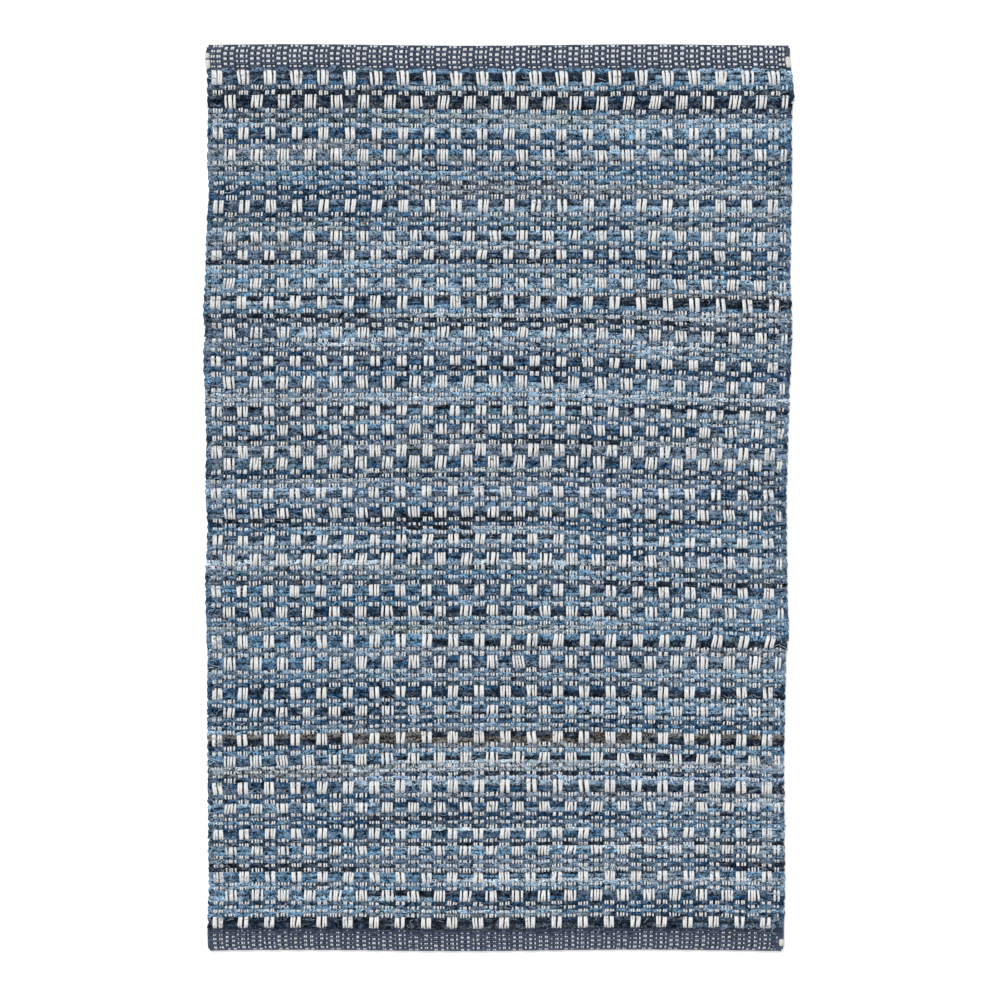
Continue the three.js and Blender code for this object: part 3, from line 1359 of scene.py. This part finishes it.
@dataclass
class RagWeft(YarnMaker):
    """The denim rags: one path for each pick, turned round the selvedge into the next."""

    short_thickness: float = 4.6
    tall_thickness: float = 4.8
    crimp: float = 0.55
    short_swell: float = 1.36
    tall_swell: float = 1.22
    hidden_swell: float = 0.96
    end_bulge: float = 2.6
    sides: int = 6
    pieces: int = 4
    third: float = 110
    third_spread: float = 55
    half_width: float = 300
    past_edge: float = 400
    strands: list[Strand] = field(default_factory=list)

    def bends(self, shed: Shed, tall: bool) -> list[tuple[float, float, float, float]]:
        """List a repeat's bends: half columns, offset, rise in crimps, and girth."""
        full = self.tall_swell if tall else self.short_swell
        pressed = 0.93 * full if tall else 0.84 * full
        less = self.hidden_swell
        if shed is Shed.WIDE_UP:
            return [
                (0.0, -6.0, 0.75, 0.95 * full),
                (0.0, -3.2, 1, full),
                (0.0, 0, 0.7, pressed),
                (0.0, 3.2, 1, full),
                (0.0, 6.0, 0.75, 0.95 * full),
                (0.5, -2.8, -1, less),
                (0.5, 2.8, -1, less),
            ]
        return [
            (0.0, -2.4, -1, less),
            (0.0, 2.4, -1, less),
            (0.5, -6.2, 0.75, 0.95 * full),
            (0.5, -3.3, 0.8, pressed),
            (0.5, 0, 1, full),
            (0.5, 3.3, 0.8, pressed),
            (0.5, 6.2, 0.75, 0.95 * full),
        ]

    def joins(self, pick: Pick) -> list[tuple[float, np.ndarray]]:
        """Choose where the rag changes colour along a pick.

        Args:
            pick: The pick.

        Returns:
            The colours from left to right, each with the place across the rug where it ends.
        """
        shop = self.shop
        ends = {
            "left": -self.third + shop.spread(self.third_spread),
            "middle": self.third + shop.spread(self.third_spread),
            "right": self.past_edge,
        }
        spans, start = [], -self.half_width
        for place, end in ends.items():
            colours = ROWS[pick.row].colours(place, pick.number, pick.picks)
            stop = min(end, self.half_width)
            for number, colour in enumerate(colours):
                share = (number + 1) / len(colours)
                jitter = shop.spread(0.12) if number + 1 < len(colours) else 0.0
                spans.append((start + (stop - start) * (share + jitter), colour))
            start = end
        spans[-1] = (self.past_edge, spans[-1][1])
        return spans

    def wander(self, amount: float, step: float) -> Any:
        """Make a smooth random value along a pick.

        Args:
            amount: How large it is.
            step: How far apart it changes, in millimetres.

        Returns:
            A function of the place across the rug.
        """
        knots = np.arange(-320, 320 + step, step)
        values = self.shop.dice.normal(0, amount, len(knots))
        return lambda x: float(np.interp(x, knots, values))

    def strand(self, pick: Pick, number: int) -> Strand:
        """Lead one rag across the rug.

        Args:
            pick: The pick.
            number: Its number among all the rags, from the top down.

        Returns:
            The rag's path.
        """
        shop, plan = self.shop, self.plan
        spans = self.joins(pick)
        thickness = self.tall_thickness if pick.tall else self.short_thickness
        half = pick.half
        flat = thickness / (2 * half)
        strand = Strand()
        slow, quick, sway = self.wander(0.15, 37), self.wander(0.23, 8), self.wander(0.6, 9)
        odd_place, odd_half = shop.dice.uniform(-280, 280), shop.dice.uniform(6, 15)
        odd_light = shop.dice.choice([0.45, 0.6, 1.0, 1.0, 1.5, 2.0])

        def add(x: float, down: float, rise: float, swell: float, level: bool = False) -> None:
            wobble = 0.0 if level else sway(x) + shop.spread(0.35)
            colour = next(colour for end, colour in spans if x < end)
            if rise > 0 and pick.row == 0 and pick.number == 0:
                wobble += self.end_bulge * (0.6 + abs(sway(x)))
            if rise > 0 and pick.row == len(ROWS) - 1 and pick.number == pick.picks - 1:
                wobble -= 0.6 * self.end_bulge * (0.6 + abs(sway(x)))
            light = math.exp(slow(x) + quick(x))
            if abs(x - odd_place) < odd_half:
                light *= odd_light if colour[1] < 0.25 else 0.6
            z = plan.body_middle + rise * self.crimp + (0 if level else shop.spread(0.12))
            girth = half * swell * (1 + (0 if level else shop.spread(0.18)))
            press = 1.0 if rise > 0 or level else 0.85
            flatness = press * flat / swell
            strand.add((x, plan.place(x, down) + wobble, z), girth, flatness, colour * light)

        even = number % 2 == 0
        self.turn(add, pick, half, Side.LEFT, pick.start if even else pick.end)
        down = pick.middle
        for column in range(plan.columns):
            for bend, offset, rise, swell in self.bends(pick.shed, pick.tall):
                beyond = column == plan.columns - 1 and bend > 0 and offset > -3
                if not beyond and not (column == 0 and bend == 0 and offset < 0):
                    add(plan.across(column + bend, offset, down), down, rise, swell)
        self.turn(add, pick, half, Side.RIGHT, pick.end if even else pick.start)
        return strand

    def turn(self, add: Any, pick: Pick, half: float, side: Side, meeting: float) -> None:
        """Bend a rag's end round the selvedge, to where it meets the next rag's end.

        Args:
            add: Adds a point to the rag's path.
            pick: The pick.
            half: Half of the rag's width.
            side: The selvedge.
            meeting: How far down the rug the two ends meet.
        """
        plan = self.plan
        way = -1 if side is Side.LEFT else 1
        run = meeting - pick.middle
        beyond = 0.3 if run > 0 else -0.3
        bends = [(7.5, -0.08, 1.15), (4.4, -0.2, 1.3), (3.0, -0.12, 1.38), (2.4, 0.45, 1.35)]
        bends.append((2.25, 1.0, 1.2))
        points = [(inset, pick.middle + share * run, swell) for inset, share, swell in bends]
        points.append((2.25, meeting + beyond, 1.2))
        if way < 0:
            points.reverse()
        for inset, down, swell in points:
            outer = inset if inset > 3 else max(inset, half * swell)
            x = way * (plan.edge(side, down) - outer)
            add(x, down, 0.0, swell, True)

    def build(self) -> list[Piece]:
        """Make all the rags, in pieces from the top down."""
        shop = self.shop
        finish = YarnFinish(
            "denim_rag", 760, (0.95, 1, 1), 0.05, 2.3, 0.95, 0.12, 120, 0.92, bump=1.0
        )
        picks = self.plan.rag_picks()
        self.strands = [self.strand(pick, number) for number, pick in enumerate(picks)]
        lumps = {"lumps": 3.4, "lumps_in_a_metre": 330}
        return shop.weave(
            "rag_weft", "denim_rag", finish, self.strands, self.sides, pieces=self.pieces, **lumps
        )


@dataclass
class HeadingWeft(YarnMaker):
    """The slate cotton picks of the two headings and of the hems turned under them."""

    thickness: float = 1.25
    crimp: float = 0.35
    slate: Colour = (0.074, 0.098, 0.15)

    def strand(self, pick: Pick, hem: bool) -> Strand:
        """Lead one pick across a heading.

        Args:
            pick: The pick.
            hem: Whether it lies in the layer that is turned under.

        Returns:
            The yarn's path.
        """
        shop, plan = self.shop, self.plan
        middle = plan.hem_middle if hem else plan.heading_middle
        strand = Strand()
        half = pick.half * 1.06
        shade = 1 + shop.spread(0.08)

        def add(x: float, rise: float, swell: float = 1.0) -> None:
            tint = np.array(self.slate) * shade * (1 + shop.spread(0.12))
            y = plan.place(x, pick.middle)
            girth = half * swell * (1 + shop.spread(0.05))
            strand.add((x, y, middle + rise), girth, self.thickness / (2 * half), tint)

        inset = 0.5
        add(inset - plan.edge(Side.LEFT, pick.middle), 0, 1.2)
        add(inset + 1.5 - plan.edge(Side.LEFT, pick.middle), 0, 1.2)
        narrow_up = pick.shed is Shed.NARROW_UP
        for column in range(plan.columns):
            for wide in (False, True):
                rise = -self.crimp if narrow_up != wide else self.crimp
                if column < plan.columns - 1 or not wide:
                    add(plan.across(column + 0.5 * wide, -3, pick.middle), rise)
                    add(plan.across(column + 0.5 * wide, 3, pick.middle), rise)
        add(plan.edge(Side.RIGHT, pick.middle) - inset - 4, 0)
        add(plan.edge(Side.RIGHT, pick.middle) - inset - 1.5, 0, 1.2)
        add(plan.edge(Side.RIGHT, pick.middle) - inset, 0, 1.2)
        return strand

    def build(self) -> list[Piece]:
        """Make all the heading picks as one piece."""
        plan = self.plan
        picks = plan.heading_picks()
        hems = picks[: plan.hem_picks] + picks[-plan.hem_picks :]
        strands = [self.strand(pick, False) for pick in picks]
        strands += [self.strand(pick, True) for pick in hems]
        finish = YarnFinish("slate_weft", 800, (0.4, 1, 1), 0.7, 1.3, 0.0, 0.3, 400, 0.9)
        lumps = {"lumps": 0.2, "lumps_in_a_metre": 500}
        return self.shop.weave("heading_weft", "slate_cotton", finish, strands, 5, **lumps)


@dataclass
class GroundCloth(YarnMaker):
    """The dark inner layer of the cloth, which closes the gaps between the yarns; its colours are
    painted shade for what shows in those gaps.
    """

    body_half: float = 0.7
    heading_half: float = 0.35
    columns: int = 12
    step: float = 11.0
    # both colours are painted shade in the gaps between the yarns: near black in the body, a
    # darkened slate in the headings
    dark: Colour = (0.016, 0.03, 0.055)
    slate: Colour = (0.034, 0.045, 0.074)

    def line(self) -> list[tuple[float, float, float]]:
        """Walk along the cloth's own length, from one turned-under end to the other.

        Returns:
            For each station its distance down the rug, its height and its half thickness.
        """
        plan = self.plan
        thin = self.heading_half
        end = plan.top_heading - plan.hem_short
        bend = plan.hem_thickness / 2
        fold = [(end, plan.hem_middle, thin), (end / 2, plan.hem_middle, thin)]
        fold += [(2.4, plan.hem_middle, thin), (1.5, bend - 0.6, thin), (1.2, bend, thin)]
        fold += [(1.5, bend + 0.6, thin), (2.4, plan.heading_middle, thin)]
        fold += [(13, plan.heading_middle, thin)]
        count = round((plan.body_end - plan.top_heading) / self.step)
        downs = np.linspace(plan.top_heading + 1, plan.body_end - 1, count)
        body = [(down, plan.body_middle, self.body_half) for down in downs]
        far = [(plan.length - down, z, half) for down, z, half in reversed(fold)]
        return fold + body + far

    def build(self) -> Piece:
        """Make the closed sheet."""
        plan = self.plan
        stations = self.line()
        centres = np.array([(-down, z) for down, z, _ in stations])
        ways = np.gradient(centres, axis=0)
        ways /= np.linalg.norm(ways, axis=1)[:, None]
        mesh = bpy.data.meshes.new("ground_cloth")
        shape = bmesh.new()
        rings = []
        for (down, z, half), (along, up) in zip(stations, ways):
            ring = []
            for side in (1, -1):
                shares = np.linspace(-1, 1, self.columns)[::side]
                for share in shares:
                    place = down + side * half * up
                    edge = Side.LEFT if share < 0 else Side.RIGHT
                    x = share * (plan.edge(edge, min(max(place, 1.2), plan.length - 1.2)) - 2)
                    y = plan.place(x, place)
                    height = z + side * half * abs(along) * (1 if along <= 0 else -1)
                    ring.append(shape.verts.new((x * MM, y * MM, max(height, 0.2) * MM)))
            rings.append(ring)
        for first, second in zip(rings, rings[1:]):
            for k, point in enumerate(first):
                after = (k + 1) % len(first)
                shape.faces.new((point, first[after], second[after], second[k]))
        for ring in (rings[0], rings[-1]):
            for k in range(self.columns - 1):
                across = len(ring) - 1 - k
                shape.faces.new((ring[k], ring[k + 1], ring[across - 1], ring[across]))
        bmesh.ops.recalc_face_normals(shape, faces=shape.faces)
        shape.to_mesh(mesh)
        shape.free()
        tint = mesh.attributes.new("tint", "FLOAT_COLOR", "POINT")
        inner = plan.length / 2 - plan.top_heading - 3
        in_body = [abs(vertex.co.y) < inner * MM for vertex in mesh.vertices]
        # painted shade in the gaps: the near-black tint in the body, the darkened slate in the
        # headings
        colours = [(*(self.dark if inside else self.slate), 1.0) for inside in in_body]
        tint.data.foreach_set("color", np.array(colours, np.float32).ravel())
        finish = YarnFinish("ground_cotton", 800, (1, 1, 1), 0.6, 1.4, 0.0, 0.0, 0.0, 0.95)
        mesh.materials.append(finish.make(self.shop.mottle))
        mesh.uv_layers.new(name="Yarn")
        piece = bpy.data.objects.new("ground_cloth", mesh)
        bpy.context.scene.collection.objects.link(piece)
        return finish_piece(piece, "rug_cloth")


@dataclass
class LooseFibres(YarnMaker):
    """Curls of fibre that have worked out of the rags."""

    rags: RagWeft
    curls: int = 3000
    selvedge_curls: int = 550
    girth: float = 0.37
    points: int = 5
    lengths: tuple[float, float] = (3.5, 10)
    selvedge_lengths: tuple[float, float] = (6, 16)
    rises: tuple[float, float] = (0.1, 0.9)
    paler: tuple[float, float] = (0.15, 0.6)
    selvedge_paler: tuple[float, float] = (0.25, 0.7)
    cool: Colour = (0.84, 1.0, 1.14)
    rust_length: float = 4.0
    rust_swell: float = 2.4
    rust_share: float = 0.012
    rust: Colour = (0.2, 0.11, 0.04)

    def strand(self, root: tuple[float, float], tint: np.ndarray, at_edge: bool) -> Strand:
        """Let one fibre lie in a curl on the rug.

        Args:
            root: X and Y of the place where it comes out of its rag.
            tint: Its colour.
            at_edge: Whether it lies in a selvedge, where the curls are longer.

        Returns:
            Its path.
        """
        shop, plan = self.shop, self.plan
        strand = Strand()
        x, y = root
        heading = shop.spread(0.9) + (0 if shop.dice.random() < 0.5 else math.pi)
        curl = shop.spread(0.95)
        length = shop.dice.uniform(*(self.selvedge_lengths if at_edge else self.lengths))
        rise = shop.dice.uniform(*self.rises)
        girth = self.girth * shop.dice.uniform(0.75, 1.25)
        if tint[0] > tint[2]:
            length, girth = self.rust_length, self.rust_swell * self.girth
        limits = -plan.edge(Side.LEFT, 400), plan.edge(Side.RIGHT, 400) + 2
        for index in range(self.points):
            share = index / (self.points - 1)
            z = plan.body_thickness + 0.1 + rise * math.sin(math.pi * share)
            strand.add((x, y, z), girth * (1.15 - 0.5 * share), 0.8, tint)
            x += math.cos(heading) * length / (self.points - 1)
            if not limits[0] < x < limits[1]:
                heading = math.pi - heading
                x += 2 * math.cos(heading) * length / (self.points - 1)
            y += 0.8 * math.sin(heading) * length / (self.points - 1)
            heading += curl + shop.spread(0.35)
        return strand

    def build(self) -> list[Piece]:
        """Make all the curls as one piece."""
        shop = self.shop
        strands = []
        for number in range(self.curls + self.selvedge_curls):
            rag = self.rags.strands[shop.dice.integers(len(self.rags.strands))]
            at_edge = number >= self.curls
            if at_edge:
                index = shop.dice.choice([5, 7, len(rag.points) - 9, len(rag.points) - 7])
            else:
                index = shop.dice.integers(7, len(rag.points) - 8)
            x, y, _ = rag.points[index]
            paler = shop.dice.uniform(*(self.selvedge_paler if at_edge else self.paler))
            tint = (0.75 * np.array(rag.tint[index]) + paler) * np.array(self.cool)
            if shop.dice.random() < self.rust_share:
                tint = np.array(self.rust)
            strands.append(self.strand((x, y), tint, at_edge))
        finish = YarnFinish("loose_cotton", 800, (1, 1, 1), 0.8, 1.2, 0.0, 0.0, 0.0, 0.95)
        return shop.weave("loose_fibres", "denim_rag", finish, strands, 3, lane=400)


@dataclass
class SelvedgeFloats(YarnMaker):
    """Doubled white selvedge yarns that show in the headings' corners."""

    width: float = 5.2
    thickness: float = 1.7

    def build(self) -> list[Piece]:
        """Make the short floats as one piece."""
        plan = self.plan
        # side, where the float starts and ends down the rug
        floats = (
            (Side.LEFT, 9.5, 13),
            (Side.LEFT, 15.5, 24.5),
            (Side.RIGHT, 11.5, 23),
            (Side.RIGHT, plan.length - 11.5, plan.length - 5.5),
        )
        strands = []
        for side, start, end in floats:
            strand = Strand()
            way = -1 if side is Side.LEFT else 1
            half_way = ((-0.2, -1.6, 0.6), (0.12, 0.25, 0.95), (0.5, 0.5, 1.0))
            for at, lift, swell in (*half_way, (0.88, 0.25, 0.95), (1.2, -1.6, 0.6)):
                self.bend(strand, side, way, start + at * (end - start), lift, swell)
            strands.append(strand)
        finish = YarnFinish("selvedge_cotton", 800, (1, 0.35, 1), 0.8, 1.1, 0.0, 0.25, 330, 0.85)
        return self.shop.weave("selvedge_floats", "white_cotton", finish, strands, 8, lane=60)

    def bend(
        self, strand: Strand, side: Side, way: int, down: float, lift: float, swell: float
    ) -> None:
        """Add one bend of a float, which hugs the selvedge."""
        plan = self.plan
        x = way * (plan.edge(side, down) - self.width / 2)
        point = (x, plan.place(x, down), plan.heading_middle + lift)
        half = self.width / 2 * swell
        strand.add(point, half, self.thickness / self.width, (1.0, 0.97, 0.9))


@dataclass
class HemStitches(YarnMaker):
    """Slanted stitches under the rug, which hold the turned hems to the body."""

    pitch: float = 6.0
    girth: float = 0.35
    half_row: float = 285
    thread: Colour = (0.06, 0.065, 0.1)

    def build(self) -> list[Piece]:
        """Make both rows of stitches as one piece."""
        plan = self.plan
        strands = []
        for hem_end, inward in ((plan.top_heading - plan.hem_short, 1), (plan.body_end + 3.0, -1)):
            count = int(2 * self.half_row / self.pitch)
            for index in range(count):
                x = -self.half_row + index * self.pitch
                strand = Strand()
                bends = ((0, -2.5, 0.9), (0.8, -1.2, 0.3), (2.4, 1.6, 0.4), (3.4, 3.2, 1.4))
                for across, past, z in bends:
                    down = hem_end + inward * past
                    point = (x + across, plan.place(x + across, down), z)
                    strand.add(point, self.girth, 0.8, self.thread)
                strands.append(strand)
        finish = YarnFinish("hem_thread", 800, (1, 1, 1), 0.7, 1.3, 0.0, 0.3, 900, 0.85)
        return self.shop.weave("hem_stitches", "slate_cotton", finish, strands, 4, lane=600)


@dataclass
class Studio:
    """A plain pale floor, soft light, and a camera straight above the rug."""

    plan: WeavePlan
    view_width: float = 1022.5
    view_centre: tuple[float, float] = (1.5, -2.6)
    camera_height: float = 3000
    sensor: float = 36
    floor_half: float = 20.0
    floor_glow: float = 0.3
    sky_strength: float = 0.64
    sun_strength: float = 1.9
    sun_width: float = 22
    sun_tilt: tuple[float, float] = (-38, -24)

    def floor(self) -> Piece:
        """Make the floor."""
        shape = bmesh.new()
        bmesh.ops.create_grid(shape, x_segments=1, y_segments=1, size=self.floor_half)
        mesh = bpy.data.meshes.new("floor")
        shape.to_mesh(mesh)
        shape.free()
        material = bpy.data.materials.new("pale_floor")
        material.use_nodes = True
        paint = material.node_tree.nodes["Principled BSDF"]
        paint.inputs["Base Color"].default_value = (0.955, 0.955, 0.955, 1)
        paint.inputs["Roughness"].default_value = 0.9
        paint.inputs["Specular IOR Level"].default_value = 0.1
        paint.inputs["Emission Color"].default_value = (1, 1, 1, 1)
        paint.inputs["Emission Strength"].default_value = self.floor_glow
        mesh.materials.append(material)
        floor = bpy.data.objects.new("floor", mesh)
        bpy.context.scene.collection.objects.link(floor)
        return floor

    def light(self) -> None:
        """Add the soft light from all round and a broad light from the upper left."""
        world = bpy.data.worlds.new("studio")
        world.use_nodes = True
        sky = world.node_tree.nodes["Background"]
        sky.inputs["Color"].default_value = (1, 1, 1, 1)
        sky.inputs["Strength"].default_value = self.sky_strength
        bpy.context.scene.world = world
        lamp = bpy.data.lights.new("broad_light", "SUN")
        lamp.energy = self.sun_strength
        lamp.angle = math.radians(self.sun_width)
        broad = bpy.data.objects.new("broad_light", lamp)
        broad.rotation_euler = (*(math.radians(turn) for turn in self.sun_tilt), 0)
        bpy.context.scene.collection.objects.link(broad)

    def camera(self) -> None:
        """Place the camera, with a long lens so that the rug shows without perspective."""
        data = bpy.data.cameras.new("camera")
        distance = self.camera_height - self.plan.body_thickness
        data.sensor_width = self.sensor
        data.lens = self.sensor * distance / self.view_width
        data.clip_end = 100
        camera = bpy.data.objects.new("camera", data)
        x, y = self.view_centre
        camera.location = (x * MM, y * MM, self.camera_height * MM)
        bpy.context.scene.collection.objects.link(camera)
        bpy.context.scene.camera = camera

    def build(self) -> None:
        """Set up the whole studio."""
        self.floor()
        self.light()
        self.camera()
        bpy.context.scene.view_settings.view_transform = "Standard"


def main() -> None:
    """Build the rug and the studio."""
    logging.basicConfig(level=logging.INFO, format="%(message)s")
    plan = WeavePlan()
    shop = Workshop(plan, YarnSweep(), FibreMottle(), np.random.default_rng(SEED))
    Studio(plan).build()
    cloth = GroundCloth(shop).build()
    rags = RagWeft(shop)
    makers = [WhiteWarp(shop), BindingWarp(shop), rags, HeadingWeft(shop)]
    makers += [SelvedgeFloats(shop), LooseFibres(shop, rags), HemStitches(shop)]
    yarns = [piece for maker in makers for piece in maker.build()]


if __name__ == "__main__":
    main()
